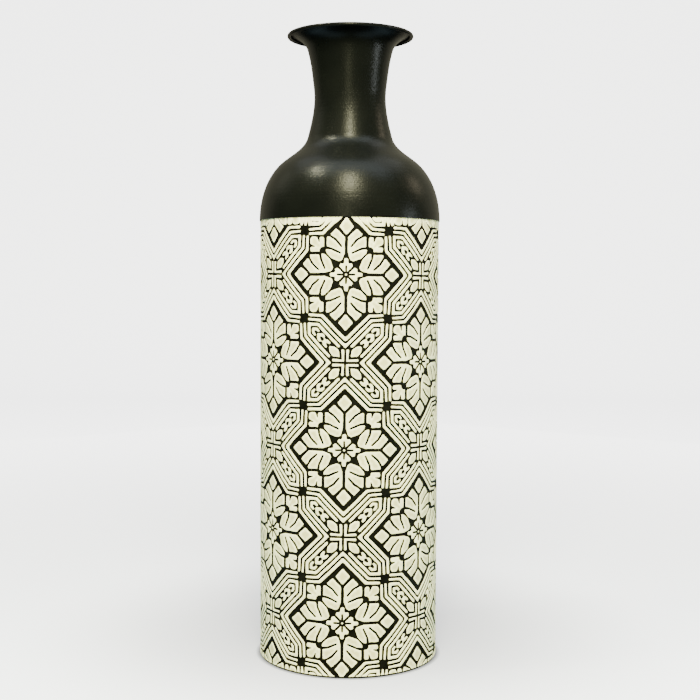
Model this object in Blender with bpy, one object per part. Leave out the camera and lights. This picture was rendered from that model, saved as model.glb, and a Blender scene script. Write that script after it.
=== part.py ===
# A tall floor vase of painted sheet iron. A tube rolled from embossed sheet carries a spun shoulder,
# the shoulder's neck carries a spun mouth with a wired lip, and a pressed pan closes the foot.
# Metres, +Z up. The origin is the centre of the foot, on the plane that the vase stands on.

import math

import bmesh
import bpy

MM = 0.001

# Driving dimensions
BODY_RADIUS = 86.4 * MM       # over the tops of the relief
RELIEF_DEPTH = 0.9 * MM       # how far the pattern is pressed out of the sheet
JOINT_HEIGHT = 421.5 * MM     # lower edge of the shoulder's skirt
WAIST_HEIGHT = 540.0 * MM     # where the mouth slips over the neck
WAIST_RADIUS = 34.5 * MM
TOTAL_HEIGHT = 600.0 * MM     # top of the lip
MOUTH_RADIUS = 60.6 * MM      # over the lip's bead
BEAD_RADIUS = 1.8 * MM        # of the rolled lip, over its sheet
SHEET = 0.45 * MM             # of the tube, the shoulder and the mouth
PAN_SHEET = 0.6 * MM
GAP = 0.3 * MM                # between pieces that touch

# Rolled tube
TUBE_LAP = 9.5 * MM           # height of plain margin that stands inside the skirt
MARGIN_START = 0.3 * MM       # the margin begins this far below the skirt's edge
SEAM_ANGLE = math.radians(90)   # the outer edge of the lap seam, at the back
SEAM_LAP = 8.0 * MM           # how far the sheet's inner end runs on under its outer end
SEAM_JOGGLE = 3.0 * MM        # length of the bend that takes the inner end under
SEAM_EDGE_GAP = 0.5 * MM      # from the outer edge to the end of that bend

# Spun shoulder. Its outer side bends inwards between the skirt and the foot of the neck.
BEND_INSET = 20.9 * MM        # in from the skirt's outer side
BEND_RISE = 54.7 * MM         # above the skirt's lower edge
BEND_LEAN = math.radians(137.8)
NECK_FOOT_OUTSET = 6.2 * MM   # out from the waist
NECK_FOOT_DROP = 37.9 * MM    # below the waist
NECK_FOOT_LEAN = math.radians(104.3)
SKIRT_CLEARANCE = 0.3 * MM    # from the relief's tops to the inside of the skirt
SPIGOT_LENGTH = 8.0 * MM      # of the neck's stepped-in end, inside the mouth

# Spun mouth. Its outer side opens slowly through the throat and quickly past the flare.
THROAT_OUTSET = 1.25 * MM     # out from the waist
THROAT_RISE = 15.4 * MM       # above the waist
THROAT_LEAN = math.radians(83.1)
FLARE_INSET = 19.5 * MM       # in from the lip's outer side
FLARE_DROP = 14.7 * MM        # below the top of the lip
FLARE_LEAN = math.radians(73.65)
LIP_LEAN = math.radians(10)   # of the sheet where it runs into the bead
BEAD_TURN = math.radians(280)   # how far the sheet is rolled round the wire

# Foot pan
PAN_FLOOR = 4.0 * MM          # underside of the pan above the ground
PAN_HEIGHT = 16.0 * MM        # of the turned-up flange, from the pan's underside
PAN_CORNER = 3.0 * MM         # outer radius of the pan's corner

# Brazing tacks, which hold the pieces together on the inside
JOINT_TACKS, NECK_TACKS, FOOT_TACKS = 6, 4, 6
BIG_TACK = 1.2 * MM
SMALL_TACK = 1.0 * MM

# Fineness of the meshes
SEGMENTS = 48                 # of every turned piece, so that nested facets stay parallel
SPAN_STEPS = 5                # of each span between two knots
HANDLE_SHARE = 0.34           # of a span's chord, for its two handles
BEAD_STEPS = 8
CORNER_STEPS = 3
WIRE_SIDES = 6

FINISHES = {                  # colour, roughness, metallic
    "relief_paint": ((0.77, 0.75, 0.63, 1), 0.55, 0.0),
    "black_lacquer": ((0.012, 0.012, 0.010, 1), 0.33, 0.0),
    "bare_wire": ((0.42, 0.41, 0.39, 1), 0.40, 1.0),
    "braze": ((0.46, 0.36, 0.20, 1), 0.50, 1.0),
}


def clear_scene():
    for thing in list(bpy.data.objects):
        bpy.data.objects.remove(thing)


def finish(name):
    material = bpy.data.materials.new(name)
    material.use_nodes = True
    colour, roughness, metallic = FINISHES[name]
    shader = material.node_tree.nodes["Principled BSDF"]
    shader.inputs["Base Color"].default_value = colour
    shader.inputs["Roughness"].default_value = roughness
    shader.inputs["Metallic"].default_value = metallic
    material.diffuse_color = colour
    return material


def add_object(name, mesh, material):
    thing = bpy.data.objects.new(name, mesh)
    mesh.materials.append(material)
    mesh.shade_smooth()
    mesh.set_sharp_from_angle(angle=math.radians(40))
    bpy.context.scene.collection.objects.link(thing)
    return thing


def add_bmesh(name, shape, material):
    mesh = bpy.data.meshes.new(name)
    shape.to_mesh(mesh)
    shape.free()
    return add_object(name, mesh, material)


def turned(name, outline, material):
    """Turns a closed outline of (radius, height) once round Z into one closed body."""
    shape = bmesh.new()
    corners = [shape.verts.new((radius, 0, height)) for radius, height in outline]
    edges = [shape.edges.new((a, b)) for a, b in zip(corners, corners[1:] + corners[:1])]
    bmesh.ops.spin(shape, geom=corners + edges, cent=(0, 0, 0), axis=(0, 0, 1),
                   angle=math.tau, steps=SEGMENTS, use_merge=True)
    bmesh.ops.remove_doubles(shape, verts=shape.verts, dist=0.001 * MM)
    bmesh.ops.recalc_face_normals(shape, faces=shape.faces)
    return add_bmesh(name, shape, material)


def span(start, end):
    """Points of one smooth span between two knots of (radius, height, lean), without its last point."""
    (r0, z0, lean0), (r1, z1, lean1) = start, end
    reach = HANDLE_SHARE * math.hypot(r1 - r0, z1 - z0)
    along = ((r0, z0),
             (r0 + reach * math.cos(lean0), z0 + reach * math.sin(lean0)),
             (r1 - reach * math.cos(lean1), z1 - reach * math.sin(lean1)),
             (r1, z1))
    points = []
    for step in range(SPAN_STEPS):
        t = step / SPAN_STEPS
        weights = ((1 - t) ** 3, 3 * t * (1 - t) ** 2, 3 * t * t * (1 - t), t ** 3)
        points.append(tuple(sum(w * p[axis] for w, p in zip(weights, along)) for axis in (0, 1)))
    return points


def profile(knots):
    """The whole curve through the knots, from the first to the last."""
    points = [point for pair in zip(knots, knots[1:]) for point in span(*pair)]
    return points + [knots[-1][:2]]


def inward(points, depth, start_lean, end_lean):
    """The same curve a sheet's thickness further in, on its left as the curve runs up."""
    moved = []
    for index, (radius, height) in enumerate(points):
        if index == 0:
            lean = start_lean
        elif index == len(points) - 1:
            lean = end_lean
        else:
            (r0, z0), (r1, z1) = points[index - 1], points[index + 1]
            lean = math.atan2(z1 - z0, r1 - r0)
        moved.append((radius - depth * math.sin(lean), height + depth * math.cos(lean)))
    return moved


def arc(centre, radius, start, turn, steps):
    return [(centre[0] + radius * math.cos(start + turn * step / steps),
             centre[1] + radius * math.sin(start + turn * step / steps))
            for step in range(steps + 1)]


def seam_stations():
    """Where the rolled sheet runs: (angle, outer radius, inner radius), from its outer to its inner edge."""
    wall_inside = BODY_RADIUS - RELIEF_DEPTH - SHEET
    outside_end = (BODY_RADIUS, wall_inside)
    inside_end = (wall_inside - GAP, wall_inside - GAP - SHEET)
    lap = SEAM_LAP / BODY_RADIUS
    bend_end = math.tau - SEAM_EDGE_GAP / BODY_RADIUS
    bend_start = bend_end - SEAM_JOGGLE / BODY_RADIUS
    turns = sorted([math.tau * step / SEGMENTS for step in range(SEGMENTS)] + [lap, bend_start])
    stations = [(turn, *outside_end) for turn in turns if turn <= bend_start]
    stations += [(bend_end, *inside_end), (math.tau + lap, *inside_end)]
    return [(SEAM_ANGLE + turn, outer, inner) for turn, outer, inner in stations]


def rolled_tube(material):
    """The embossed tube, whose pattern's height is held as one plain wall, with its lap seam."""
    tube_top = JOINT_HEIGHT + TUBE_LAP
    margin_base = JOINT_HEIGHT - MARGIN_START
    levels = ((0.0, BODY_RADIUS), (margin_base, BODY_RADIUS),
              (margin_base, BODY_RADIUS - RELIEF_DEPTH), (tube_top, BODY_RADIUS - RELIEF_DEPTH))
    stations = seam_stations()
    shape = bmesh.new()
    rows = []
    for height, most in levels:
        outer, inner = [], []
        for angle, outer_radius, inner_radius in stations:
            for radius, row in ((min(outer_radius, most), outer), (inner_radius, inner)):
                row.append(shape.verts.new((radius * math.cos(angle), radius * math.sin(angle), height)))
        rows.append((outer, inner))
    last = len(stations) - 1
    for (outer0, inner0), (outer1, inner1) in zip(rows, rows[1:]):
        for i in range(last):
            shape.faces.new((outer0[i], outer0[i + 1], outer1[i + 1], outer1[i]))
            shape.faces.new((inner0[i + 1], inner0[i], inner1[i], inner1[i + 1]))
        shape.faces.new((inner0[0], outer0[0], outer1[0], inner1[0]))
        shape.faces.new((outer0[last], inner0[last], inner1[last], outer1[last]))
    (bottom_outer, bottom_inner), (top_outer, top_inner) = rows[0], rows[-1]
    for i in range(last):
        shape.faces.new((bottom_outer[i + 1], bottom_outer[i], bottom_inner[i], bottom_inner[i + 1]))
        shape.faces.new((top_outer[i], top_outer[i + 1], top_inner[i + 1], top_inner[i]))
    bmesh.ops.remove_doubles(shape, verts=shape.verts, dist=0.001 * MM)
    bmesh.ops.recalc_face_normals(shape, faces=shape.faces)
    return add_bmesh("body_tube", shape, material)


def spun_shoulder(material):
    """Skirt, shoulder and lower neck in one spinning, ending in a spigot for the mouth."""
    up = math.radians(90)
    skirt_radius = BODY_RADIUS + SKIRT_CLEARANCE + SHEET
    outside = profile([
        (skirt_radius, JOINT_HEIGHT, up),
        (skirt_radius - BEND_INSET, JOINT_HEIGHT + BEND_RISE, BEND_LEAN),
        (WAIST_RADIUS + NECK_FOOT_OUTSET, WAIST_HEIGHT - NECK_FOOT_DROP, NECK_FOOT_LEAN),
        (WAIST_RADIUS, WAIST_HEIGHT, up),
    ])
    inside = inward(outside, SHEET, up, up)[:-1]
    spigot_outer = WAIST_RADIUS - SHEET - GAP
    spigot_inner = spigot_outer - SHEET
    spigot_top = WAIST_HEIGHT + SPIGOT_LENGTH
    step_below = WAIST_HEIGHT - SHEET
    spigot = [(spigot_outer, WAIST_HEIGHT), (spigot_outer, spigot_top), (spigot_inner, spigot_top),
              (spigot_inner, step_below), (WAIST_RADIUS - SHEET, step_below)]
    return turned("shoulder", outside + spigot + inside[::-1], material)


def lip_centre():
    return MOUTH_RADIUS - BEAD_RADIUS, TOTAL_HEIGHT - BEAD_RADIUS


def spun_mouth(material):
    """Upper neck and flared mouth, whose edge is rolled outwards and under into a bead."""
    up = math.radians(90)
    centre = lip_centre()
    hollow = BEAD_RADIUS - SHEET
    bead_start = up + LIP_LEAN
    into_bead = arc(centre, hollow, bead_start, 0, 1)[0]
    outside = profile([
        (WAIST_RADIUS, WAIST_HEIGHT + GAP, up),
        (WAIST_RADIUS + THROAT_OUTSET, WAIST_HEIGHT + THROAT_RISE, THROAT_LEAN),
        (MOUTH_RADIUS - FLARE_INSET, TOTAL_HEIGHT - FLARE_DROP, FLARE_LEAN),
        (*into_bead, LIP_LEAN),
    ])
    inside = inward(outside, SHEET, up, LIP_LEAN)
    roll_inside = arc(centre, hollow, bead_start, -BEAD_TURN, BEAD_STEPS)[1:]
    roll_outside = arc(centre, BEAD_RADIUS, bead_start - BEAD_TURN, BEAD_TURN, BEAD_STEPS)
    return turned("mouth", outside + roll_inside + roll_outside + inside[-2::-1], material)


def rim_wire(material):
    """The wire that the lip is rolled round."""
    radius = BEAD_RADIUS - SHEET - GAP
    section = arc(lip_centre(), radius, 0, math.tau, WIRE_SIDES)[:-1]
    return turned("rim_wire", section, material)


def foot_pan(material):
    """A shallow pressed pan with its flange turned up inside the tube, clear of the seam's inner end."""
    seam_inside = BODY_RADIUS - RELIEF_DEPTH - SHEET - GAP - SHEET
    radius = seam_inside - GAP
    top = PAN_FLOOR + PAN_HEIGHT
    outer_corner = arc((radius - PAN_CORNER, PAN_FLOOR + PAN_CORNER), PAN_CORNER,
                       math.radians(-90), math.radians(90), CORNER_STEPS)
    inner_corner = arc((radius - PAN_CORNER, PAN_FLOOR + PAN_CORNER), PAN_CORNER - PAN_SHEET,
                       0, math.radians(-90), CORNER_STEPS)
    outline = [(0, PAN_FLOOR), *outer_corner, (radius, top), (radius - PAN_SHEET, top), *inner_corner,
               (0, PAN_FLOOR + PAN_SHEET)]
    return turned("foot_pan", outline, material)


def tacks(name, count, ring_radius, height, size, material):
    """A ring of brazing tacks, each a small bead, set half a step off the seam."""
    for index in range(count):
        angle = SEAM_ANGLE + math.tau * (index + 0.5) / count
        shape = bmesh.new()
        bmesh.ops.create_icosphere(shape, subdivisions=2, radius=size)
        tack = add_bmesh(f"{name}_{index + 1}", shape, material)
        tack.location = (ring_radius * math.cos(angle), ring_radius * math.sin(angle), height)


def all_tacks(material):
    wall_inside = BODY_RADIUS - RELIEF_DEPTH - SHEET
    clear = BIG_TACK + 2 * GAP
    tacks("joint_tack", JOINT_TACKS, wall_inside - BIG_TACK, JOINT_HEIGHT + TUBE_LAP + clear,
          BIG_TACK, material)
    tacks("neck_tack", NECK_TACKS, WAIST_RADIUS - SHEET - SMALL_TACK,
          WAIST_HEIGHT + SPIGOT_LENGTH + SMALL_TACK + 2 * GAP, SMALL_TACK, material)
    tacks("foot_tack", FOOT_TACKS, wall_inside - clear, PAN_FLOOR + PAN_HEIGHT + clear,
          BIG_TACK, material)


def build():
    clear_scene()
    black = finish("black_lacquer")
    rolled_tube(finish("relief_paint"))
    spun_shoulder(black)
    spun_mouth(black)
    rim_wire(finish("bare_wire"))
    foot_pan(black)
    all_tacks(finish("braze"))


build()
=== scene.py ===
# Looks of a tall floor vase of painted sheet iron: an embossed cream and black tube,
# a spun black shoulder and a flared mouth. Metres throughout, unless a dictionary says mm.
import math

import bmesh
import bpy
import numpy as np
from mathutils import Matrix, Vector
from mathutils.geometry import delaunay_2d_cdt


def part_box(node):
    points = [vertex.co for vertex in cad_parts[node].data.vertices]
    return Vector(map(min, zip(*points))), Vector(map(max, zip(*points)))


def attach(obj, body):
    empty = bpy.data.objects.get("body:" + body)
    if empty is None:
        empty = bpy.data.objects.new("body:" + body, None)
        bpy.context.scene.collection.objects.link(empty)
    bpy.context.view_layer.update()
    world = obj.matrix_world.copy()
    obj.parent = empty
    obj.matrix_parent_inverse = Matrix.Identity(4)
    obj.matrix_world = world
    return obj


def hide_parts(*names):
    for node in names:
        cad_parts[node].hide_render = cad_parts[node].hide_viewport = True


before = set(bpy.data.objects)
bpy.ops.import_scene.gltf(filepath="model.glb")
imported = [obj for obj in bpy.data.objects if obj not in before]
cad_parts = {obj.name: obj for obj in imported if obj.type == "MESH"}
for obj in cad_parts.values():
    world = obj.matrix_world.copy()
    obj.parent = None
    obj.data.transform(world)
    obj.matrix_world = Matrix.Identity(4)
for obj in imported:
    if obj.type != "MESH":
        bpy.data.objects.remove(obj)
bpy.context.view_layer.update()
mm = 0.001

_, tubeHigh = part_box("body_tube")
shoulderLow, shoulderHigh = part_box("shoulder")
mouthLow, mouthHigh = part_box("mouth")

# The embossed sheet: ground is the sheet's own face, tops are the raised parts
sheet = dict(
    thick=0.45 * mm,
    relief=0.9 * mm,
    tops=tubeHigh.x,
    joint=shoulderLow.z,
    lapGap=0.3 * mm,
    joggle=3.0 * mm,          # bend that takes the inner end under, at the seam
    edgeGap=0.5 * mm,
    pressedFlat=0.75,         # share of the relief lost where the inner end goes under
)
sheet["ground"] = sheet["tops"] - sheet["relief"]
halfTurn = math.pi * sheet["tops"]


def newMaterial(name):
    material = bpy.data.materials.new(name)
    material.use_nodes = True
    nodes = material.node_tree.nodes
    return material, nodes, material.node_tree.links, nodes["Principled BSDF"]


def objectPlace(nodes, links, scale=(1, 1, 1)):
    coordinates = nodes.new("ShaderNodeTexCoord")
    mapping = nodes.new("ShaderNodeMapping")
    mapping.inputs["Scale"].default_value = scale
    links.new(coordinates.outputs["Object"], mapping.inputs["Vector"])
    return mapping.outputs["Vector"]


def noiseOn(nodes, links, place, scale, detail=3.0, roughness=0.55):
    noise = nodes.new("ShaderNodeTexNoise")
    noise.inputs["Scale"].default_value = scale
    noise.inputs["Detail"].default_value = detail
    noise.inputs["Roughness"].default_value = roughness
    links.new(place, noise.inputs["Vector"])
    return noise.outputs["Fac"]


def ramp(nodes, links, source, stops):
    node = nodes.new("ShaderNodeValToRGB")
    elements = node.color_ramp.elements
    while len(elements) < len(stops):
        elements.new(0.5)
    for element, (at, colour) in zip(elements, stops):
        element.position = at
        element.color = (*colour, 1)
    links.new(source, node.inputs["Fac"])
    return node.outputs["Color"]


def rangeOf(nodes, links, source, low, high, start=0.0, end=1.0, smooth=False):
    node = nodes.new("ShaderNodeMapRange")
    if smooth:
        node.interpolation_type = "SMOOTHSTEP"
    for key, value in (("From Min", start), ("From Max", end), ("To Min", low), ("To Max", high)):
        node.inputs[key].default_value = value
    links.new(source, node.inputs["Value"])
    return node.outputs["Result"]


def bumpFrom(nodes, links, source, depth, under=None):
    node = nodes.new("ShaderNodeBump")
    node.inputs["Strength"].default_value = 1.0
    node.inputs["Distance"].default_value = depth
    links.new(source, node.inputs["Height"])
    if under is not None:
        links.new(under, node.inputs["Normal"])
    return node.outputs["Normal"]


# Cream paint, with a painted highlight on the raised rims and painted shade in the dished middles; worn
# patches fall at random
creamPaint = dict(
    edge=(0.84, 0.83, 0.53),       # painted highlight: the raised rims lighter, as where they catch the light
    middle=(0.42, 0.405, 0.20),   # painted shade: the dished middles darker, as where less light reaches
    worn=(0.37, 0.36, 0.18),
    paintedShadeFullAt=0.8,                 # share of the full dish where the painted shade is full
    wornFrom=0.42, wornTo=0.75,   # of the mottle
    wornShare=0.45,
    mottleScale=90.0,
    grainScale=1500.0,
    grainDepth=0.05 * mm,
    roughLow=0.38,
    roughHigh=0.56,
)


def makeCreamPaint():
    p = creamPaint
    material, nodes, links, shader = newMaterial("cream relief paint")
    place = objectPlace(nodes, links)
    depth = nodes.new("ShaderNodeAttribute")
    depth.attribute_name = "dish"
    # the dish attribute carries painted light: lighter rims, darker dished middles
    rimHighlightToMiddleShade = ramp(nodes, links, depth.outputs["Fac"], [(0.0, p["edge"]), (p["paintedShadeFullAt"], p["middle"])])
    mottle = noiseOn(nodes, links, place, p["mottleScale"])
    patches = ramp(nodes, links, mottle, [(p["wornFrom"], (0, 0, 0)),
                                          (p["wornTo"], (p["wornShare"],) * 3)])
    mix = nodes.new("ShaderNodeMix")
    mix.data_type = "RGBA"
    links.new(patches, mix.inputs["Factor"])
    links.new(rimHighlightToMiddleShade, mix.inputs["A"])
    mix.inputs["B"].default_value = (*p["worn"], 1)
    links.new(mix.outputs["Result"], shader.inputs["Base Color"])
    grain = noiseOn(nodes, links, place, p["grainScale"], 2.0)
    links.new(rangeOf(nodes, links, mottle, p["roughLow"], p["roughHigh"]), shader.inputs["Roughness"])
    links.new(bumpFrom(nodes, links, grain, p["grainDepth"]), shader.inputs["Normal"])
    return material


blackGround = dict(
    deep=(0.0015, 0.0016, 0.0009),
    dusty=(0.0040, 0.0042, 0.0030),
    dustFrom=0.35, dustTo=0.8,    # of the mottle
    mottleScale=160.0,
    grainScale=1100.0,
    grainDepth=0.08 * mm,
    roughLow=0.45,
    roughHigh=0.70,
    specular=0.08,
)


def makeBlackGround():
    p = blackGround
    material, nodes, links, shader = newMaterial("black ground paint")
    place = objectPlace(nodes, links)
    mottle = noiseOn(nodes, links, place, p["mottleScale"], 4.0)
    links.new(ramp(nodes, links, mottle, [(p["dustFrom"], p["deep"]), (p["dustTo"], p["dusty"])]),
              shader.inputs["Base Color"])
    links.new(rangeOf(nodes, links, mottle, p["roughLow"], p["roughHigh"]), shader.inputs["Roughness"])
    grain = noiseOn(nodes, links, place, p["grainScale"], 3.0)
    links.new(bumpFrom(nodes, links, grain, p["grainDepth"]), shader.inputs["Normal"])
    shader.inputs["Specular IOR Level"].default_value = p["specular"]
    return material


blackLacquer = dict(
    deep=(0.0017, 0.0020, 0.0018),
    thin=(0.0027, 0.0031, 0.0026),
    cloudScale=35.0,
    cloudFrom=0.3, cloudTo=0.8,
    specular=0.20,
    tint=(1.0, 1.0, 1.0),         # of its reflections
    ringsAround=3.0,               # how much a spinning ring varies round the vase
    ringScale=520.0,
    ringRoughness=0.65,           # share of finer rings among the broad ones
    ringDepth=0.10 * mm,
    sparkleScale=700.0,
    sparkleDepth=0.12 * mm,
    roughLow=0.24,
    roughHigh=0.36,
)


def makeBlackLacquer():
    p = blackLacquer
    material, nodes, links, shader = newMaterial("black lacquer")
    place = objectPlace(nodes, links)
    rings = objectPlace(nodes, links, (p["ringsAround"], p["ringsAround"], p["ringScale"]))
    turned = noiseOn(nodes, links, rings, 1.0, 3.0, p["ringRoughness"])
    cloud = noiseOn(nodes, links, place, p["cloudScale"], 4.0)
    links.new(ramp(nodes, links, cloud, [(p["cloudFrom"], p["deep"]), (p["cloudTo"], p["thin"])]),
              shader.inputs["Base Color"])
    links.new(rangeOf(nodes, links, turned, p["roughLow"], p["roughHigh"]), shader.inputs["Roughness"])
    sparkle = noiseOn(nodes, links, place, p["sparkleScale"], 1.0)
    under = bumpFrom(nodes, links, turned, p["ringDepth"])
    links.new(bumpFrom(nodes, links, sparkle, p["sparkleDepth"], under), shader.inputs["Normal"])
    shader.inputs["Specular Tint"].default_value = (*p["tint"], 1)
    shader.inputs["Specular IOR Level"].default_value = p["specular"]
    return material


bareWire = dict(low=(0.30, 0.29, 0.27), high=(0.50, 0.49, 0.46), roughness=0.38, scale=900.0)
braze = dict(low=(0.32, 0.24, 0.12), high=(0.58, 0.46, 0.26), roughness=0.50, scale=700.0)
metalFinish = dict(cloudFrom=0.3, cloudTo=0.75, smoother=0.10, rougher=0.15, grainDepth=0.05 * mm)


def makeMetal(name, p):
    q = metalFinish
    material, nodes, links, shader = newMaterial(name)
    place = objectPlace(nodes, links)
    cloud = noiseOn(nodes, links, place, p["scale"], 4.0)
    links.new(ramp(nodes, links, cloud, [(q["cloudFrom"], p["low"]), (q["cloudTo"], p["high"])]),
              shader.inputs["Base Color"])
    links.new(rangeOf(nodes, links, cloud, p["roughness"] - q["smoother"], p["roughness"] + q["rougher"]),
              shader.inputs["Roughness"])
    links.new(bumpFrom(nodes, links, cloud, q["grainDepth"]), shader.inputs["Normal"])
    shader.inputs["Metallic"].default_value = 1.0
    return material


cream = makeCreamPaint()
groundBlack = makeBlackGround()
lacquer = makeBlackLacquer()
wireSteel = makeMetal("bare wire", bareWire)
brazeMetal = makeMetal("braze", braze)
print("materials made")


def addPiece(name, verts, faces, material, sharp=50):
    mesh = bpy.data.meshes.new(name)
    mesh.from_pydata([tuple(v) for v in verts], [], faces)
    return finishMesh(name, mesh, material, sharp)


def finishMesh(name, mesh, material, sharp=50):
    mesh.materials.clear()
    mesh.materials.append(material)
    mesh.shade_smooth()
    mesh.set_sharp_from_angle(angle=math.radians(sharp))
    piece = bpy.data.objects.new(name, mesh)
    bpy.context.scene.collection.objects.link(piece)
    return piece


noiseTable = dict(cells=1024, least=4, shift=40.0)      # shift keeps the first row off the foot
seeds = dict(dieAlong=3, dieUp=4, ragged=5, paint=6, fine=7, height=8, sheetRound=11, turnedRound=21,
             shoulderRings=31, mouthRings=41)


# Smooth noise from -1 to 1 whose bumps are about size across; wrap repeats it in x.
def softNoise(x, y, size, seed, wrap=None):
    cells = noiseTable["cells"]
    columns = max(noiseTable["least"], round(wrap / size)) if wrap else cells
    cell = wrap / columns if wrap else size
    table = np.random.default_rng(seed).uniform(-1, 1, (columns, cells))
    gx, gy = np.asarray(x) / cell, np.asarray(y) / size + noiseTable["shift"]
    ix, iy = np.floor(gx).astype(int), np.floor(gy).astype(int)
    fx, fy = gx - ix, gy - iy
    fx, fy = fx * fx * (3 - 2 * fx), fy * fy * (3 - 2 * fy)

    def at(i, j):
        return table[(ix + i) % columns, (iy + j) % cells]
    low = at(0, 0) * (1 - fx) + at(1, 0) * fx
    high = at(0, 1) * (1 - fx) + at(1, 1) * fx
    return low * (1 - fy) + high * fy


# Closed outlines are lists of corners (x, y, radius) in mm, anticlockwise
outlines = dict(
    arcStep=0.6,                  # mm between points round a corner
    straightStep=1.5,
    leastRadius=0.02,
    keptRadius=0.3,               # share of a corner's radius that an inset always leaves
    reachShare=0.46,              # most of an edge that one corner may take
    sharpest=-0.95,               # cosine between two edges, where a mitre stops growing
)


# Points round an outline moved inwards by inset. The plan of one ring gives another as many points.
def roundedRing(corners, inset, plan=None):
    p = np.array([c[:2] for c in corners], float)
    radius = np.array([c[2] for c in corners], float)
    ahead = np.roll(p, -1, 0) - p
    length = np.linalg.norm(ahead, axis=1)
    along = ahead / length[:, None]
    before = np.roll(along, 1, 0)
    inwardNext = np.stack([-along[:, 1], along[:, 0]], 1)
    inwardLast = np.roll(inwardNext, 1, 0)
    dot = np.clip((inwardNext * inwardLast).sum(1), outlines["sharpest"], 1)
    moved = p + inset * (inwardNext + inwardLast) / (1 + dot)[:, None]
    turn = np.arctan2(before[:, 0] * along[:, 1] - before[:, 1] * along[:, 0], (before * along).sum(1))
    edge = np.linalg.norm(np.roll(moved, -1, 0) - moved, axis=1)
    wanted = np.where(turn > 0, np.maximum(radius - inset, outlines["keptRadius"] * radius), radius + inset)
    wanted = np.maximum(wanted, outlines["leastRadius"])
    half = np.tan(np.abs(turn) / 2)
    reach = np.minimum(wanted * half, outlines["reachShare"] * np.minimum(edge, np.roll(edge, 1)))
    if plan is None:
        arc = reach / np.maximum(half, 1e-6) * np.abs(turn)
        bends = np.maximum(2, np.ceil(arc / outlines["arcStep"]).astype(int) + 1)
        straight = np.maximum(edge - reach - np.roll(reach, -1), 0)
        plan = [(b, int(s // outlines["straightStep"])) for b, s in zip(bends, straight)]
    points = []
    for i, (bends, between) in enumerate(plan):
        start = moved[i] - before[i] * reach[i]
        end = moved[i] + along[i] * reach[i]
        for k in range(bends):
            t = k / (bends - 1)
            # a conic through the corner is a true arc for these weights
            w = math.cos(turn[i] / 2)
            a, b, c = (1 - t) ** 2, 2 * w * t * (1 - t), t * t
            points.append((a * start + b * moved[i] + c * end) / (a + b + c))
        following = (i + 1) % len(plan)
        nextStart = moved[following] - before[following] * reach[following]
        for k in range(between):
            points.append(end + (nextStart - end) * (k + 1) / (between + 1))
    return np.array(points), plan


def anticlockwise(corners):
    x, y = np.array([c[0] for c in corners]), np.array([c[1] for c in corners])
    area = (x * np.roll(y, -1) - np.roll(x, -1) * y).sum()
    return list(corners) if area > 0 else list(corners)[::-1]


def insideOf(points, ring):
    x, y = points[:, 0][:, None], points[:, 1][:, None]
    x0, y0 = ring[:, 0][None], ring[:, 1][None]
    x1, y1 = np.roll(ring, -1, 0)[:, 0][None], np.roll(ring, -1, 0)[:, 1][None]
    crosses = ((y0 > y) != (y1 > y)) & (x < (x1 - x0) * (y - y0) / (y1 - y0 + 1e-12) + x0)
    return crosses.sum(1) % 2 == 1


# Triangles that fill the space inside the rings, through the extra points, which are counted last.
def fillRings(rings, extra):
    points, edges = [], []
    for ring in rings:
        first = len(points)
        points += [tuple(q) for q in ring]
        edges += [(first + k, first + (k + 1) % len(ring)) for k in range(len(ring))]
    points += [tuple(q) for q in extra]
    _, _, faces, origin, _, _ = delaunay_2d_cdt([Vector(q) for q in points], edges, [], 1, 1e-6)
    back = [o[0] if o else None for o in origin]
    triangles = []
    for face in faces:
        ids = [back[k] for k in face]
        if None in ids or len(set(ids)) < 3:
            continue
        a, b, c = (points[k] for k in ids)
        middle = np.array([[(a[0] + b[0] + c[0]) / 3, (a[1] + b[1] + c[1]) / 3]])
        if any(insideOf(middle, ring)[0] for ring in rings[1:]):
            continue
        area = (b[0] - a[0]) * (c[1] - a[1]) - (b[1] - a[1]) * (c[0] - a[0])
        triangles.append(ids if area > 0 else ids[::-1])
    return triangles


# Section through a raised part: (inset from the paint's edge in mm, height as a share of the relief)
section = dict(
    foot=(0.12, -0.16),
    paintEdge=(0.55, 0.74),
    shoulder=(0.72, 0.91),
    rim=(1.05, 0.985),
    dish=0.14,                    # how far a broad middle sinks, as a share of the relief
    dishReach=2.2,                # mm from the outline to the full dish
    gridStep=2.4,                 # mm between the points inside a broad part
    gridStart=0.4, gridRow=0.87,  # mm from the lowest corner, and rows' distance as a share of the step
    gridClear=0.9,                # mm kept free inside the rim
    rimShadeShare=0.3,                  # how much of the dish's painted shade the rim has
)
# How far each level follows the paint's spread
spread = dict(foot=0.6, paintEdge=1.0, shoulder=0.85, rim=0.5)


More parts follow.
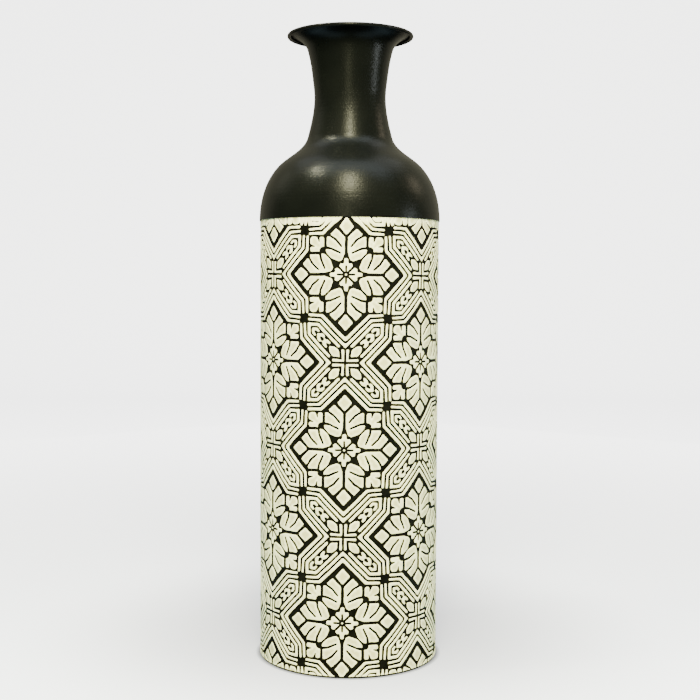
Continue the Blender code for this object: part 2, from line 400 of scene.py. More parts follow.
# Flat raised parts, each a black foot with a cream cap, in mm and shares of the relief.
class Motif:
    def __init__(self):
        self.parts = {"cap": ([], [], [], []), "foot": ([], [], [], [])}

    def add(self, part, verts, faces, grow, dish):
        v, f, g, d = self.parts[part]
        first = len(v)
        v += verts
        g += grow
        d += dish
        f += [[first + k for k in face] for face in faces]

    def island(self, corners, holes=(), broad=False, tighten=0.0):
        loops = [anticlockwise(corners)] + [anticlockwise(h)[::-1] for h in holes]
        plans = [roundedRing(loop, 0.0)[1] for loop in loops]
        rings = {}
        for key in ("foot", "paintEdge", "shoulder", "rim"):
            inset = section[key][0] + tighten
            rings[key] = [roundedRing(loop, inset, plan)[0] for loop, plan in zip(loops, plans)]
        self.stack("foot", rings, ("foot", "paintEdge"), [])
        extra = self.middlePoints(rings) if broad else []
        self.stack("cap", rings, ("paintEdge", "shoulder", "rim"), extra)

    def middlePoints(self, rings):
        outer = rings["rim"][0]
        low, high = outer.min(0), outer.max(0)
        step, start = section["gridStep"], section["gridStart"]
        xs = np.arange(low[0] + start, high[0], step)
        ys = np.arange(low[1] + start, high[1], step * section["gridRow"])
        grid = np.array([(x + (j % 2) * step / 2, y) for j, y in enumerate(ys) for x in xs])
        keep = insideOf(grid, outer)
        for hole in rings["rim"][1:]:
            keep &= ~insideOf(grid, hole)
        every = np.concatenate(rings["rim"])
        gap = np.linalg.norm(grid[:, None] - every[None], axis=2).min(1)
        return grid[keep & (gap > section["gridClear"])]

    def stack(self, part, rings, keys, extra):
        verts, faces, grow, dish = [], [], [], []
        counts = [len(r) for r in rings["foot"]]
        total = sum(counts)
        flatOutline = np.concatenate(rings["paintEdge"])
        out = np.concatenate(rings["foot"]) - flatOutline
        out /= np.maximum(np.linalg.norm(out, axis=1), 1e-9)[:, None]
        for level, key in enumerate(keys):
            flat = np.concatenate(rings[key])
            verts += [(x, y, section[key][1]) for x, y in flat]
            grow += [(a, b, spread[key]) for a, b in out]
            # the dish attribute sets painted shade: none on the walls, a little on the rim
            dish += [section["rimShadeShare"] if key == "rim" else 0.0] * total
            if level == 0:
                continue
            lower, upper, first = (level - 1) * total, level * total, 0
            for count in counts:
                for k in range(count):
                    a, b = first + k, first + (k + 1) % count
                    faces.append([lower + a, lower + b, upper + b, upper + a])
                first += count
        bottom = fillRings(rings[keys[0]], [])
        faces += [tri[::-1] for tri in bottom]
        top = fillRings(rings[keys[-1]], extra)
        lift = (len(keys) - 1) * total
        faces += [[lift + k for k in tri] for tri in top]
        if len(extra):
            gap = np.linalg.norm(extra[:, None] - flatOutline[None], axis=2).min(1)
            sink = np.clip((gap - section["rim"][0]) / section["dishReach"], 0, 1)
            sink = sink * sink * (3 - 2 * sink)
            verts += [(x, y, section["rim"][1] - section["dish"] * s) for (x, y), s in zip(extra, sink)]
            grow += [(0.0, 0.0, 0.0)] * len(extra)
            # painted shade grows towards the dished middle
            dish += [section["rimShadeShare"] + (1 - section["rimShadeShare"]) * s for s in sink]
        self.add(part, verts, faces, grow, dish)

    # Repeats everything by quarter turns, and mirrored where the motif has two hands.
    def turnedCopies(self, bothHands):
        for part, (v, f, g, d) in self.parts.items():
            count = len(v)
            base, push = np.array(v), np.array(g)
            allV, allF, allG, allD = [], [], [], []
            for flip in ((1, -1) if bothHands else (1,)):
                for quarter in range(4):
                    c, s = round(math.cos(quarter * math.pi / 2)), round(math.sin(quarter * math.pi / 2))
                    first = len(allV)
                    for source, target in ((base, allV), (push, allG)):
                        x, y = source[:, 0] * flip, source[:, 1]
                        turned = np.stack([c * x - s * y, s * x + c * y, source[:, 2]], 1)
                        target += [tuple(q) for q in turned]
                    allF += [[first + k for k in (face if flip > 0 else face[::-1])] for face in f]
                    allD += d
            self.parts[part] = (allV, allF, allG, allD)
        return self


# Corners of a cut that runs into a raised part along a path, and back along its other side.
def vein(start, path, widths):
    going, coming = [], []
    previous = np.array(start, float)
    for k, ((x, y, radius), width) in enumerate(zip(path, widths)):
        here = np.array((x, y), float)
        step = here - previous
        if k + 1 < len(path):
            step = step / np.linalg.norm(step) + (np.array(path[k + 1][:2]) - here) / np.linalg.norm(
                np.array(path[k + 1][:2]) - here)
        step /= np.linalg.norm(step)
        side = np.array((-step[1], step[0])) * width / 2
        going.append((*(here + side), radius))
        coming.append((*(here - side), radius))
        previous = here
    return going + coming[::-1]


# The same corners mirrored left to right, in reverse order.
def mirrored(corners):
    return [(-x, y, r) for x, y, r in reversed(corners)]


# The same corners mirrored in the diagonal, in reverse order.
def swapped(corners, sign=-1):
    return [(sign * y, sign * x, r) for x, y, r in reversed(corners)]


# Medallion, mm from its centre. One leaf, one floret, one petal and one diamond make the rest by symmetry.
lowerVein = vein((18.9, 24.1), [(14.0, 23.45, 5), (5.2, 19.5, 0.22)], (0.86, 0.56))
upperVein = vein((14.9, 34.7), [(9.7, 31.6, 7), (4.3, 25.3, 0.22)], (0.92, 0.56))
leaf = ([(0.85, 33.9, 2.2), (0.85, 19.6, 5.0), (3.1, 12.9, 2.5), (6.2, 11.3, 2.5), (14.2, 14.3, 9.0),
         (19.0, 19.6, 4.0), (19.6, 23.5, 1.3)] + lowerVein
        + [(18.5, 24.7, 0.8), (18.5, 34.9, 2.3), (15.4, 34.6, 0.7)] + upperVein
        + [(14.4, 35.0, 0.5), (15.0, 36.7, 0.9), (9.4, 42.3, 1.4)])
floretHalf = [(24.1, 22.5, 0.25), (24.3, 19.9, 1.2), (34.5, 19.9, 2.3), (34.5, 25.6, 2.2),
              (30.2, 25.3, 0.35), (34.6, 26.9, 2.8)]
floret = floretHalf + [(34.5, 34.5, 4.2)] + swapped(floretHalf, 1)
petalHalf = [(-2.2, 15.4, 1.9), (-2.35, 11.4, 1.5), (-2.7, 10.45, 0.25),
             (-5.3, 10.8, 1.5), (-6.9, 7.6, 1.7), (-1.9, 2.5, 0.5), (-0.4, 2.3, 0.3), (-0.3, 8.1, 0.25)]
petal = petalHalf + mirrored(petalHalf)
diamond = [(0, 51.9, 1.8), (-7.65, 43.35, 1.9), (0, 34.2, 2.3), (7.65, 43.35, 1.9)]
stud = [(1.4, 1.4, 1.35), (-1.4, 1.4, 1.35), (-1.4, -1.4, 1.35), (1.4, -1.4, 1.35)]

# Cross, mm from its centre, for the arm that points up and to the left
elbow = [(-0.55, 0.65, 0.9), (-0.55, 12.5, 1.7), (-4.1, 12.5, 1.6), (-3.25, 3.35, 0.4),
         (-12.5, 4.1, 1.6), (-12.5, 0.65, 1.7)]
crossLeafHalf = [(-15.6, 15.6, 1.9), (-9.9, 15.2, 4.0), (-5.2, 11.6, 4.0), (-4.55, 4.55, 0.8)]
crossLeaf = crossLeafHalf + swapped(crossLeafHalf[1:3])
outerBandHalf = [(0, 23.33, 1.5), (-20.8, 44.0, 3.0), (-35.6, 44.5, 1.5), (-35.4, 41.5, 1.45),
                 (-22.6, 41.0, 3.0), (0, 18.46, 2.0)]
middleBandHalf = [(0, 16.97, 2.1), (-22.8, 39.6, 3.0), (-36.0, 40.4, 1.3), (-35.8, 37.7, 1.3),
                  (-24.5, 37.0, 3.0), (0, 12.66, 1.0)]
innerBandHalf = [(-36.2, 36.2, 1.1), (-24.6, 35.85, 3.0), (-3.9, 15.1, 1.5), (-6.1, 12.85, 1.5),
                 (-25.9, 32.6, 2.5), (-32.7, 32.7, 0.6)]
forkAndRing = [(-18.6, 21.9, 0.5), (-15.6, 21.0, 2.5), (-12.9, 18.2, 1.2), (-13.9, 15.9, 1.3),
               (-17.7, 17.7, 0.3)]
ringHalf = [(-27.0, 27.0, 1.9), (-20.6, 26.7, 2.4), (-18.2, 24.2, 2.0)]
hookHalf = [(-31.8, 31.8, 1.8), (-25.9, 31.8, 1.6), (-23.3, 28.7, 1.2), (-24.7, 26.5, 1.3),
            (-28.0, 28.9, 0.35)]


link = ringHalf + forkAndRing + swapped(forkAndRing[:-1]) + swapped(ringHalf[1:])
linkHole = [(-23.7, 23.7, 0.5), (-21.7, 19.7, 0.4), (-20.2, 20.2, 0.3), (-19.7, 21.7, 0.4)]
hook = hookHalf + swapped(hookHalf[1:])
outerBand = outerBandHalf + mirrored(outerBandHalf[1:-1])
middleBand = middleBandHalf + mirrored(middleBandHalf[1:-1])
innerBand = innerBandHalf + swapped(innerBandHalf[1:-1])


def leafMotif():
    motif = Motif()
    motif.island(leaf, broad=True, tighten=0.12)
    return motif.turnedCopies(True)


def flowerMotif():
    motif = Motif()
    motif.island(floret, broad=True, tighten=0.22)
    motif.island(petal, tighten=0.12)
    motif.island(diamond, broad=True, tighten=0.30)
    motif.turnedCopies(False)
    motif.island(stud)
    return motif


def bandMotif():
    motif = Motif()
    motif.island(outerBand, tighten=-0.08)
    motif.island(middleBand, tighten=-0.12)
    return motif.turnedCopies(False)


def chainMotif():
    motif = Motif()
    motif.island(innerBand, tighten=-0.08)
    motif.island(elbow)
    motif.island(crossLeaf, broad=True, tighten=0.15)
    motif.island(link, holes=[linkHole])
    motif.island(hook)
    return motif.turnedCopies(False)


pattern = dict(
    pitch=159.14,                 # mm, side of the square that repeats
    centre=(-4.16, 210.3),        # mm, one medallion, from the middle of the front and from the foot
    tilt=math.radians(-0.43),     # the sheet was fed slightly askew
    columns=5,
    rows=5,
)


def motifObject(name, part):
    verts, faces, grow, dish = part
    mesh = bpy.data.meshes.new(name)
    mesh.from_pydata(verts, [], faces)
    mesh.attributes.new("grow", "FLOAT_VECTOR", "POINT").data.foreach_set(
        "vector", np.array(grow, np.float32).ravel())
    # dish holds the painted shade of the cream paint, for the shader
    mesh.attributes.new("dish", "FLOAT", "POINT").data.foreach_set("value", np.array(dish, np.float32))
    piece = bpy.data.objects.new(name, mesh)
    bpy.context.scene.collection.objects.link(piece)
    return piece


# Geometry Nodes: one motif on both corners and centres of a square lattice, tilted and moved into place.
def repeatTree():
    tree = bpy.data.node_groups.new("tile repeat", "GeometryNodeTree")
    face = tree.interface
    face.new_socket("Geometry", in_out="INPUT", socket_type="NodeSocketGeometry")
    for name, kind in (("Motif", "NodeSocketObject"), ("Pitch", "NodeSocketFloat"),
                       ("Columns", "NodeSocketInt"), ("Rows", "NodeSocketInt"),
                       ("Tilt", "NodeSocketVector"), ("Centre", "NodeSocketVector"),
                       ("Paint", "NodeSocketMaterial")):
        face.new_socket(name, in_out="INPUT", socket_type=kind)
    face.new_socket("Geometry", in_out="OUTPUT", socket_type="NodeSocketGeometry")
    nodes, links = tree.nodes, tree.links
    given = nodes.new("NodeGroupInput")
    result = nodes.new("NodeGroupOutput")

    def maths(kind, a, b):
        node = nodes.new("ShaderNodeMath")
        node.operation = kind
        for socket, value in zip(node.inputs, (a, b)):
            if isinstance(value, (int, float)):
                socket.default_value = value
            else:
                links.new(value, socket)
        return node.outputs["Value"]
    lattice = nodes.new("GeometryNodeMeshGrid")
    for count, size, side in (("Columns", "Size X", "Vertices X"), ("Rows", "Size Y", "Vertices Y")):
        links.new(maths("MULTIPLY", maths("SUBTRACT", given.outputs[count], 1), given.outputs["Pitch"]),
                  lattice.inputs[size])
        links.new(given.outputs[count], lattice.inputs[side])
    half = nodes.new("ShaderNodeCombineXYZ")
    links.new(maths("MULTIPLY", given.outputs["Pitch"], 0.5), half.inputs["X"])
    links.new(maths("MULTIPLY", given.outputs["Pitch"], 0.5), half.inputs["Y"])
    shifted = nodes.new("GeometryNodeTransform")
    links.new(lattice.outputs["Mesh"], shifted.inputs["Geometry"])
    links.new(half.outputs["Vector"], shifted.inputs["Translation"])
    both = nodes.new("GeometryNodeJoinGeometry")
    links.new(lattice.outputs["Mesh"], both.inputs["Geometry"])
    links.new(shifted.outputs["Geometry"], both.inputs["Geometry"])
    source = nodes.new("GeometryNodeObjectInfo")
    links.new(given.outputs["Motif"], source.inputs["Object"])
    copies = nodes.new("GeometryNodeInstanceOnPoints")
    links.new(both.outputs["Geometry"], copies.inputs["Points"])
    links.new(source.outputs["Geometry"], copies.inputs["Instance"])
    placed = nodes.new("GeometryNodeTransform")
    links.new(copies.outputs["Instances"], placed.inputs["Geometry"])
    links.new(given.outputs["Centre"], placed.inputs["Translation"])
    links.new(given.outputs["Tilt"], placed.inputs["Rotation"])
    real = nodes.new("GeometryNodeRealizeInstances")
    links.new(placed.outputs["Geometry"], real.inputs["Geometry"])
    painted = nodes.new("GeometryNodeSetMaterial")
    links.new(real.outputs["Geometry"], painted.inputs["Geometry"])
    links.new(given.outputs["Paint"], painted.inputs["Material"])
    links.new(painted.outputs["Geometry"], result.inputs["Geometry"])
    return tree


# The motif repeated over the whole flat sheet, as a plain mesh in mm and shares of the relief.
def repeated(name, tree, part, centre, paint):
    source = motifObject(name + " motif", part)
    holder = bpy.data.objects.new(name, bpy.data.meshes.new(name))
    bpy.context.scene.collection.objects.link(holder)
    modifier = holder.modifiers.new("repeat", "NODES")
    modifier.node_group = tree
    sockets = {item.name: item.identifier for item in tree.interface.items_tree
               if item.in_out == "INPUT"}
    settings = dict(Motif=source, Pitch=pattern["pitch"], Columns=pattern["columns"],
                    Rows=pattern["rows"], Tilt=(0, 0, pattern["tilt"]), Centre=(*centre, 0), Paint=paint)
    for key, value in settings.items():
        modifier[sockets[key]] = value
    depsgraph = bpy.context.evaluated_depsgraph_get()
    mesh = bpy.data.meshes.new_from_object(holder.evaluated_get(depsgraph))
    holder.modifiers.remove(modifier)
    bpy.data.objects.remove(holder)
    bpy.data.objects.remove(source)
    return mesh


flood = dict(                     # the cream paint runs together towards the sheet's ends
    topReach=9.0, topFull=4.0, topGrow=0.85,
    footReach=5.0, footFull=1.5, footGrow=0.7,
    ragged=0.5, raggedSize=3.0,
)
wobble = dict(die=0.10, dieSize=8.0, paint=0.14, paintSize=2.1, fine=0.08, fineSize=0.9,
              height=0.07, heightSize=26.0, round=0.10, roundSize=70.0)


# How far the rolled sheet leaves a true cylinder, mm.
def outOfRound(u, v):
    return wobble["round"] * softNoise(u, v, wobble["roundSize"], seeds["sheetRound"], 2 * halfTurn / mm)


# How far the inner end has gone under at the seam, mm.
def seamDip(u):
    end = (halfTurn - sheet["edgeGap"]) / mm
    start = end - sheet["joggle"] / mm
    t = np.clip((u - start) / (end - start), 0, 1)
    return t * t * (3 - 2 * t)


# From the flat sheet (mm along, mm up, share of relief) to the rolled tube in metres.
def bent(points, flatten=True):
    u, v, share = points.T
    dip = seamDip(u)
    radius = (sheet["ground"] / mm + outOfRound(u, v) - dip * (sheet["thick"] + sheet["lapGap"]) / mm
              + share * sheet["relief"] / mm * (1 - sheet["pressedFlat"] * dip * flatten))
    angle = u * mm / sheet["tops"]
    return np.stack([radius * np.sin(angle), -radius * np.cos(angle), v], 1) * mm


def readPoints(mesh):
    points = np.empty(len(mesh.vertices) * 3, np.float32)
    mesh.vertices.foreach_get("co", points)
    return points.reshape(-1, 3).astype(float)


def writePoints(mesh, points):
    mesh.vertices.foreach_set("co", points.astype(np.float32).ravel())


# Wobbles the flat parts, floods the ends with paint, cuts to the sheet's edges and rolls it up.
def worked(mesh):
    at = readPoints(mesh)
    grow = np.empty(at.size, np.float32)
    mesh.attributes["grow"].data.foreach_get("vector", grow)
    grow = grow.reshape(-1, 3)
    u, v = at[:, 0].copy(), at[:, 1].copy()
    at[:, 0] += wobble["die"] * softNoise(u, v, wobble["dieSize"], seeds["dieAlong"])
    at[:, 1] += wobble["die"] * softNoise(u, v, wobble["dieSize"], seeds["dieUp"])
    top = sheet["joint"] / mm
    run = np.clip((v - (top - flood["topReach"])) / (flood["topReach"] - flood["topFull"]), 0, 1)
    low = np.clip((flood["footReach"] - v) / (flood["footReach"] - flood["footFull"]), 0, 1)
    ragged = 1 + flood["ragged"] * softNoise(u, v, flood["raggedSize"], seeds["ragged"])
    amount = (wobble["paint"] * softNoise(u, v, wobble["paintSize"], seeds["paint"])
              + wobble["fine"] * softNoise(u, v, wobble["fineSize"], seeds["fine"])
              + (flood["topGrow"] * run ** 2 + flood["footGrow"] * low ** 2) * ragged)
    at[:, :2] += grow[:, :2] * (grow[:, 2] * amount)[:, None]
    at[:, 2] *= 1 - wobble["height"] * (1 + softNoise(u, v, wobble["heightSize"], seeds["height"]))
    writePoints(mesh, at)
    cutToSheet(mesh)
    writePoints(mesh, bent(readPoints(mesh)))
    mesh.update()
    return mesh


# the band of bare black ground left at the foot is the sheet's own black, and also stands in for the dark
# line of contact shade there
cuts = dict(foot=1.7, aboveJoint=1.4)      # mm, where the raised parts stop


# Cuts the flat parts off at the sheet's four edges and closes them there.
def cutToSheet(mesh):
    shape = bmesh.new()
    shape.from_mesh(mesh)
    half = halfTurn / mm
    top = sheet["joint"] / mm + cuts["aboveJoint"]
    edges = (((0, cuts["foot"], 0), (0, -1, 0)), ((0, top, 0), (0, 1, 0)),
             ((-half, 0, 0), (-1, 0, 0)), ((half - sheet["edgeGap"] / mm, 0, 0), (1, 0, 0)))
    for place, normal in edges:
        axis = 0 if normal[0] else 1
        sign = normal[axis]
        beyond = [f for f in shape.faces if min(sign * (w.co[axis] - place[axis]) for w in f.verts) > 0]
        bmesh.ops.delete(shape, geom=beyond, context="FACES")
        near = [f for f in shape.faces if max(sign * (w.co[axis] - place[axis]) for w in f.verts) > -1e-4]
        # keys of a dictionary keep their order, so every run numbers the faces alike
        around = dict.fromkeys(near)
        for face in near:
            around.update(dict.fromkeys([*face.edges, *face.verts]))
        bmesh.ops.bisect_plane(shape, geom=list(around), dist=1e-5, plane_co=place, plane_no=normal,
                               clear_outer=True)
        opened = [e for e in shape.edges if e.is_boundary]
        bmesh.ops.holes_fill(shape, edges=opened, sides=0)
    bmesh.ops.triangulate(shape, faces=[f for f in shape.faces if len(f.verts) > 4])
    shape.to_mesh(mesh)
    shape.free()


def rolledRelief():
    tree = repeatTree()
    onMedallions = pattern["centre"]
    c, s = math.cos(pattern["tilt"]), math.sin(pattern["tilt"])
    h = pattern["pitch"] / 2
    onCrosses = (onMedallions[0] + c * h, onMedallions[1] + s * h)
    motifs = (("leaves", leafMotif(), onMedallions), ("flowers", flowerMotif(), onMedallions),
              ("bands", bandMotif(), onCrosses), ("chains", chainMotif(), onCrosses))
    made = []
    for name, motif, centre in motifs:
        for part, paint, label in (("cap", cream, name), ("foot", groundBlack, name + "_foot")):
            mesh = worked(repeated(label, tree, motif.parts[part], centre, paint))
            made.append(finishMesh(label, mesh, paint))
            print(label, len(mesh.polygons), "faces")
    return made


reliefPieces = rolledRelief()
print("relief made")


rolled = dict(rowStep=5.0, lap=8.0, margin=9.5,      # mm
              columns=190, bendColumns=7, lapColumns=5)


# The sheet itself: one closed wall, its inner end lapped under its outer end at the back.
def rolledSheet():
    top = sheet["joint"] / mm + rolled["margin"]
    half, lap = halfTurn / mm, rolled["lap"]
    end = half - sheet["edgeGap"] / mm
    bend = np.linspace(end - sheet["joggle"] / mm, end, rolled["bendColumns"])
    across = np.concatenate([np.linspace(-half, bend[0], rolled["columns"])[:-1], bend,
                             np.linspace(end, half + lap, rolled["lapColumns"])[1:]])
    levels = np.linspace(0, top, round(top / rolled["rowStep"]) + 1)
    uu, vv = np.meshgrid(across, levels)
    outer = bent(np.stack([uu.ravel(), vv.ravel(), np.zeros(uu.size)], 1))
    inner = bent(np.stack([uu.ravel(), vv.ravel(),
                           np.full(uu.size, -sheet["thick"] / sheet["relief"])], 1), flatten=False)
    n, m = uu.shape[1], uu.shape[0]
    faces = []
    for j in range(m - 1):
        for i in range(n - 1):
            a = j * n + i
            faces.append((a, a + 1, a + n + 1, a + n))
            b = a + n * m
            faces.append((b + 1, b, b + n, b + n + 1))
    shift = n * m
    for i in range(n - 1):
        faces.append((i + 1, i, i + shift, i + 1 + shift))
        t = (m - 1) * n + i
        faces.append((t, t + 1, t + 1 + shift, t + shift))
    for j in range(m - 1):
        a, b = j * n, (j + 1) * n
        faces.append((a, b, b + shift, a + shift))
        a, b = a + n - 1, b + n - 1
        faces.append((b, a, a + shift, b + shift))
    return addPiece("rolled_sheet", np.concatenate([outer, inner]), faces, groundBlack, 40)


sheetPiece = rolledSheet()
print("sheet made")


spun = dict(
    thick=0.45 * mm,
    segments=192,
    step=1.1 * mm,                # along the outside
    insideStep=4.0 * mm,
    handle=0.34,                  # of each span's chord
    ringDepth=0.015 * mm,         # of the marks left by the spinning tool
    ringPitch=2.6 * mm,
    broadShare=0.6, broadPitch=2.3,   # a second, broader set of marks, against the first
    ringFade=4 * mm,              # no marks at the ends of a curve
    outOfRound=0.12 * mm,
    roundHeight=60 * mm,          # over which it changes
)
shoulderShape = dict(
    bendInset=20.9 * mm, bendRise=54.7 * mm, bendLean=137.8,
    footOutset=6.2 * mm, footDrop=37.9 * mm, footLean=104.3,
    waistRadius=34.5 * mm, spigot=8.0 * mm, gap=0.3 * mm,
)
mouthShape = dict(
    throatOutset=1.25 * mm, throatRise=15.4 * mm, throatLean=83.1,
    flareInset=19.5 * mm, flareDrop=14.7 * mm, flareLean=73.65,
    lipLean=10.0, bead=1.8 * mm, beadTurn=280.0, beadSteps=20,
    jointFill=0.9,                # share of the gap at the waist that paint closes
)


# Points (radius, height) along smooth spans between knots of (radius, height, lean in degrees).
def curveThrough(knots, step):
    points = []
    for (r0, z0, lean0), (r1, z1, lean1) in zip(knots, knots[1:]):
        chord = math.hypot(r1 - r0, z1 - z0)
        reach, count = spun["handle"] * chord, max(2, round(chord / step))
        a, b = math.radians(lean0), math.radians(lean1)
        corners = np.array([(r0, z0), (r0 + reach * math.cos(a), z0 + reach * math.sin(a)),
                            (r1 - reach * math.cos(b), z1 - reach * math.sin(b)), (r1, z1)])
        t = np.arange(count) / count
        weights = np.stack([(1 - t) ** 3, 3 * t * (1 - t) ** 2, 3 * t * t * (1 - t), t ** 3], 1)
        points += list(weights @ corners)
    return np.array(points + [np.array(knots[-1][:2])])


def leanAlong(points, first, last):
    ahead = np.gradient(points, axis=0)
    lean = np.arctan2(ahead[:, 1], ahead[:, 0])
    lean[0], lean[-1] = math.radians(first), math.radians(last)
    return lean


def offsetCurve(points, depth, first, last):
    lean = leanAlong(points, first, last)
    return points + depth * np.stack([-np.sin(lean), np.cos(lean)], 1)


# Adds the spinning tool's marks to the outside of a curve, none at its two ends.
def ringed(points, first, last, seed):
    along = np.concatenate([[0], np.cumsum(np.linalg.norm(np.diff(points, axis=0), axis=1))])
    marks = (softNoise(along, along * 0, spun["ringPitch"], seed)
             + spun["broadShare"] * softNoise(along, along * 0, spun["ringPitch"] * spun["broadPitch"],
                                              seed + 1))
    fade = np.clip(np.minimum(along, along[-1] - along) / spun["ringFade"], 0, 1)
    inward = offsetCurve(points, 1.0, first, last) - points
    return points + inward * (marks * fade * spun["ringDepth"])[:, None]


def arcPoints(centre, radius, start, turn, steps):
    t = np.radians(start + turn * np.arange(steps + 1) / steps)
    return np.stack([centre[0] + radius * np.cos(t), centre[1] + radius * np.sin(t)], 1)


# A closed outline of (radius, height), anticlockwise seen with Z up, turned once round Z.
def turnedPiece(name, outline, material, sharp=50):
    count, n = spun["segments"], len(outline)
    angle = np.arange(count) / count * math.tau
    radius, height = outline[:, 0], outline[:, 1]
    out = radius[None] + spun["outOfRound"] * softNoise(
        angle[:, None] * 2, height[None] / spun["roundHeight"], 1.0, seeds["turnedRound"], 2 * math.tau)
    verts = np.stack([out * np.cos(angle)[:, None], out * np.sin(angle)[:, None],
                      np.broadcast_to(height, out.shape)], 2).reshape(-1, 3)
    faces = []
    for k in range(count):
        a, b = k * n, (k + 1) % count * n
        for i in range(n):
            j = (i + 1) % n
            faces.append((a + i, b + i, b + j, a + j))
    return addPiece(name, verts, faces, material, sharp)


def makeShoulder():
    p, t = shoulderShape, spun["thick"]
    low, waist = shoulderLow.z, shoulderHigh.z - p["spigot"]
    skirt, neck = shoulderHigh.x, p["waistRadius"]
    knots = [(skirt, low, 90),
             (skirt - p["bendInset"], low + p["bendRise"], p["bendLean"]),
             (neck + p["footOutset"], waist - p["footDrop"], p["footLean"]),
             (neck, waist, 90)]
    outside = ringed(curveThrough(knots, spun["step"]), 90, 90, seeds["shoulderRings"])
    inside = offsetCurve(curveThrough(knots, spun["insideStep"]), t, 90, 90)[:-1]
    outer = neck - t - p["gap"]
    spigot = np.array([(outer, waist), (outer, waist + p["spigot"]), (outer - t, waist + p["spigot"]),
                       (outer - t, waist - t), (neck - t, waist - t)])
    return turnedPiece("spun_shoulder", np.concatenate([outside, spigot, inside[::-1]]), lacquer, 40)


def makeMouth():
    p, t = mouthShape, spun["thick"]
    neck, low, lip = shoulderShape["waistRadius"], mouthLow.z, mouthHigh.z
    centre = (mouthHigh.x - p["bead"], lip - p["bead"])
    hollow, start = p["bead"] - t, 90 + p["lipLean"]
    intoBead = arcPoints(centre, hollow, start, 0, 1)[0]
    low -= p["jointFill"] * shoulderShape["gap"]
    knots = [(neck, low, 90),
             (neck + p["throatOutset"], low + p["throatRise"] - shoulderShape["gap"], p["throatLean"]),
             (mouthHigh.x - p["flareInset"], lip - p["flareDrop"], p["flareLean"]),
             (*intoBead, p["lipLean"])]
    outside = ringed(curveThrough(knots, spun["step"]), 90, p["lipLean"], seeds["mouthRings"])
    inside = offsetCurve(curveThrough(knots, spun["insideStep"] / 2), t, 90, p["lipLean"])
    rollInside = arcPoints(centre, hollow, start, -p["beadTurn"], p["beadSteps"])[1:]
    rollOutside = arcPoints(centre, p["bead"], start - p["beadTurn"], p["beadTurn"], p["beadSteps"])
    return turnedPiece("spun_mouth", np.concatenate([outside, rollInside, rollOutside, inside[-2::-1]]),
                       lacquer, 40)


shoulderPiece = makeShoulder()
mouthPiece = makeMouth()
print("shoulder and mouth made")


for piece in reliefPieces + [sheetPiece]:
    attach(piece, "root")
    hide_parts("body_tube")
for piece, node in ((shoulderPiece, "shoulder"), (mouthPiece, "mouth")):
    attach(piece, "root")
    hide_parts(node)
for name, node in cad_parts.items():
    paint = {"rim_wire": wireSteel, "foot_pan": lacquer}.get(name, brazeMetal if "tack" in name else None)
    if paint:
        for slot in node.material_slots:
            slot.material = paint
print("pieces placed on the body")


# Metres, and strengths of the paper's own soft light
stage = dict(
    nearEdge=-0.155, farFloor=2.6, sweep=0.8, wallTop=4.0, halfWidth=1.5,
    rough=0.9, mottleScale=4.0, mottle=0.995, sweepSteps=16,
    white=(0.72, 0.735, 0.93), glow=3.3, floorGlow=0.80, glowFrom=0.25, glowTo=1.9,
    # a painted shadow on the paper round the foot, and a narrow painted contact shadow just outside it
    shade=0.36, shadeFrom=0.08, shadeTo=0.36, shadeBehind=0.08,
    contactShadow=0.25, contactShadowFrom=0.0868, contactShadowTo=0.0915,
)


def product(nodes, links, a, b):
    node = nodes.new("ShaderNodeMath")
    node.operation = "MULTIPLY"
    links.new(a, node.inputs[0])
    links.new(b, node.inputs[1])
    return node.outputs["Value"]


# A sheet of pale paper, flat under the vase and swept up behind it, with a painted shadow round the foot
# and a painted contact shadow at its edge.
def makeStage():
    p = stage
    material, nodes, links, shader = newMaterial("pale paper")
    shader.inputs["Roughness"].default_value = p["rough"]
    shader.inputs["Specular IOR Level"].default_value = 0.0
    shader.inputs["Emission Color"].default_value = (1, 1, 1, 1)
    place = objectPlace(nodes, links)
    behind = nodes.new("ShaderNodeVectorMath")
    behind.operation = "DISTANCE"
    behind.inputs[1].default_value = (0, p["shadeBehind"], 0)
    links.new(place, behind.inputs[0])
    distance = nodes.new("ShaderNodeVectorMath")
    distance.operation = "LENGTH"
    links.new(place, distance.inputs[0])
    fromVase = distance.outputs["Value"]
    paintedShadeNearby = rangeOf(nodes, links, behind.outputs["Value"], p["shade"], 1.0,
                     p["shadeFrom"], p["shadeTo"], True)
    contactShadow = rangeOf(nodes, links, fromVase, p["contactShadow"], 1.0, p["contactShadowFrom"], p["contactShadowTo"])
    away = rangeOf(nodes, links, fromVase, p["floorGlow"], p["glow"], p["glowFrom"], p["glowTo"], True)
    greyer = tuple(c * p["mottle"] for c in p["white"])
    mottle = noiseOn(nodes, links, place, p["mottleScale"])
    paper = nodes.new("ShaderNodeVectorMath")
    paper.operation = "SCALE"
    links.new(ramp(nodes, links, mottle, [(0.0, p["white"]), (1.0, greyer)]), paper.inputs[0])
    # the painted shadows darken both the paper's colour and its own light
    links.new(product(nodes, links, paintedShadeNearby, contactShadow), paper.inputs["Scale"])
    links.new(paper.outputs["Vector"], shader.inputs["Base Color"])
    links.new(product(nodes, links, away, contactShadow), shader.inputs["Emission Strength"])
    line = [(p["nearEdge"], 0.0), (p["farFloor"], 0.0)]
    for k in range(1, p["sweepSteps"] + 1):
        t = k / p["sweepSteps"] * math.pi / 2
        line.append((p["farFloor"] + p["sweep"] * math.sin(t), p["sweep"] * (1 - math.cos(t))))
    line.append((p["farFloor"] + p["sweep"], p["wallTop"]))
    verts = [(x, y, z) for y, z in line for x in (-p["halfWidth"], p["halfWidth"])]
    faces = [(2 * k, 2 * k + 1, 2 * k + 3, 2 * k + 2) for k in range(len(line) - 1)]
    sweep = addPiece("paper_sweep", verts, faces, material, 80)
    sweep.visible_glossy = False
    sweep.visible_diffuse = False


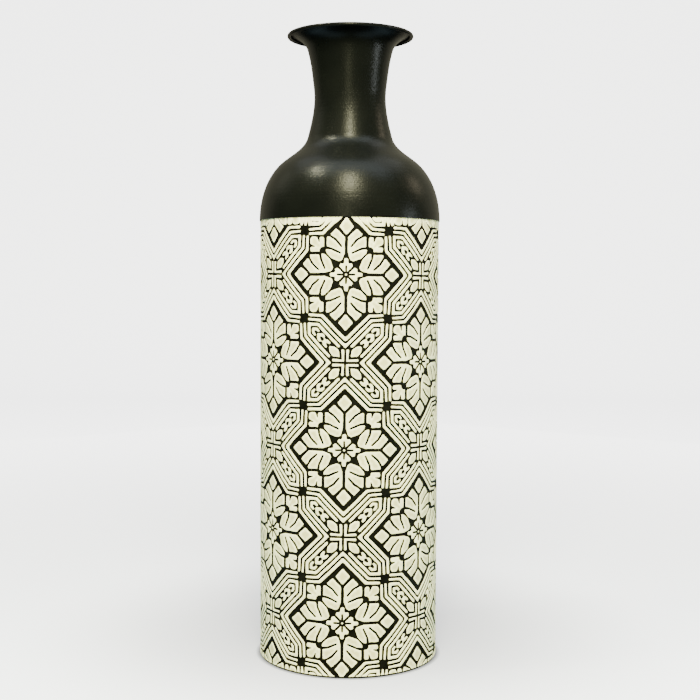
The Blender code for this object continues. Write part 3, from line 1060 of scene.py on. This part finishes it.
lights = dict(
    # azimuth from the camera's side towards +X, elevation, distance from the aim, width, height, power,
    # colour, and whether the lacquer shows it
    key=(0, 46, 1.6, 0.28, 0.72, 37, (1.0, 0.97, 0.62), True),
    keyFoot=(-5, 4, 1.6, 0.26, 0.60, 2.3, (1.0, 1.0, 0.60), True),
    wingLeft=(-7, 28, 1.9, 1.00, 1.20, 128, (1.0, 0.98, 0.62), False),
    wingRight=(7, 28, 1.9, 1.00, 1.20, 128, (1.0, 0.99, 0.70), False),
    spotLeft=(-70, 58, 1.5, 0.08, 0.08, 10, (1.0, 0.97, 0.64), True),
    sideRight=(79, 0, 1.5, 0.12, 0.50, 3.6, (0.92, 1.0, 1.0), True),
    highLeft=(-105, 32, 1.8, 0.90, 0.60, 1.2, (1.0, 1.0, 0.80), True),
    highRight=(104, 30, 1.8, 0.40, 0.40, 2.2, (1.0, 0.85, 0.62), True),
    top=(0, 76, 2.0, 3.0, 0.9, 26, (0.80, 0.91, 1.0), True),
    topLeft=(-118, 62, 2.0, 1.0, 1.0, 4, (0.90, 0.95, 1.0), True),
    topRight=(118, 62, 2.0, 1.0, 1.0, 4, (0.95, 0.97, 1.0), True),
    behindLeft=(-145, 20, 1.5, 2.10, 2.00, 5.0, (1.0, 0.96, 0.70), True),
    behindRight=(145, 20, 1.5, 2.10, 2.00, 6.6, (1.0, 0.96, 0.70), True),
    lowLeft=(-78, 0, 0.75, 0.30, 0.20, 2.8, (0.45, 0.85, 1.0), False),
    lowRight=(78, 0, 0.75, 0.30, 0.20, 2.8, (0.45, 0.85, 1.0), False),
)
# panels that lie on the floor outside the picture: x, y, width, depth, power, colour
floorPanels = dict(
    underLeft=(-0.31, 0.05, 0.40, 0.90, 0.85, (0.6, 0.88, 1.0)),
    underRight=(0.31, 0.05, 0.40, 0.90, 0.85, (0.6, 0.88, 1.0)),
)
aimHeight = dict(high=0.40, low=0.12)       # low for the lamps whose names start so
panelHeight = 0.002
room = dict(colour=(1.0, 0.99, 0.80), strength=0.40)


def addLamp(name, width, height, power, colour, place, away, shows=True):
    data = bpy.data.lights.new(name, "AREA")
    data.shape = "RECTANGLE"
    data.size, data.size_y = width, height
    data.energy, data.color = power, colour
    lamp = bpy.data.objects.new(name, data)
    lamp.location = place
    lamp.rotation_euler = away.to_track_quat("Z", "Y").to_euler()
    lamp.visible_glossy = shows
    lamp.visible_camera = False
    bpy.context.scene.collection.objects.link(lamp)


def makeLights():
    for name, (azimuth, elevation, distance, width, height, power, colour, shows) in lights.items():
        a, e = math.radians(azimuth), math.radians(elevation)
        away = Vector((math.sin(a) * math.cos(e), -math.cos(a) * math.cos(e), math.sin(e)))
        aim = Vector((0, 0, aimHeight["low" if name.startswith("low") else "high"]))
        addLamp(name, width, height, power, colour, aim + away * distance, away, shows)
    for name, (x, y, width, depth, power, colour) in floorPanels.items():
        addLamp(name, width, depth, power, colour, Vector((x, y, panelHeight)), Vector((0, 0, -1)))
    world = bpy.data.worlds.new("room")
    world.use_nodes = True
    background = world.node_tree.nodes["Background"]
    background.inputs["Color"].default_value = (*room["colour"], 1)
    background.inputs["Strength"].default_value = room["strength"]
    world.cycles_visibility.glossy = False
    bpy.context.scene.world = world


view = dict(across=0.85 * mm, distance=1.172, height=0.3604, pitch=3.10, roll=0.23,
            lens=61.937, sensor=36.0, nearest=0.05, farthest=30.0)


def makeCamera():
    data = bpy.data.cameras.new("camera")
    data.sensor_width, data.lens = view["sensor"], view["lens"]
    data.clip_start, data.clip_end = view["nearest"], view["farthest"]
    data.dof.use_dof = False
    camera = bpy.data.objects.new("camera", data)
    camera.location = (view["across"], -view["distance"], view["height"])
    look = Matrix.Rotation(math.radians(90 - view["pitch"]), 4, "X")
    camera.rotation_euler = (look @ Matrix.Rotation(math.radians(view["roll"]), 4, "Z")).to_euler()
    bpy.context.scene.collection.objects.link(camera)
    bpy.context.scene.camera = camera


makeStage()
makeLights()
makeCamera()
print("stage, lights and camera made")
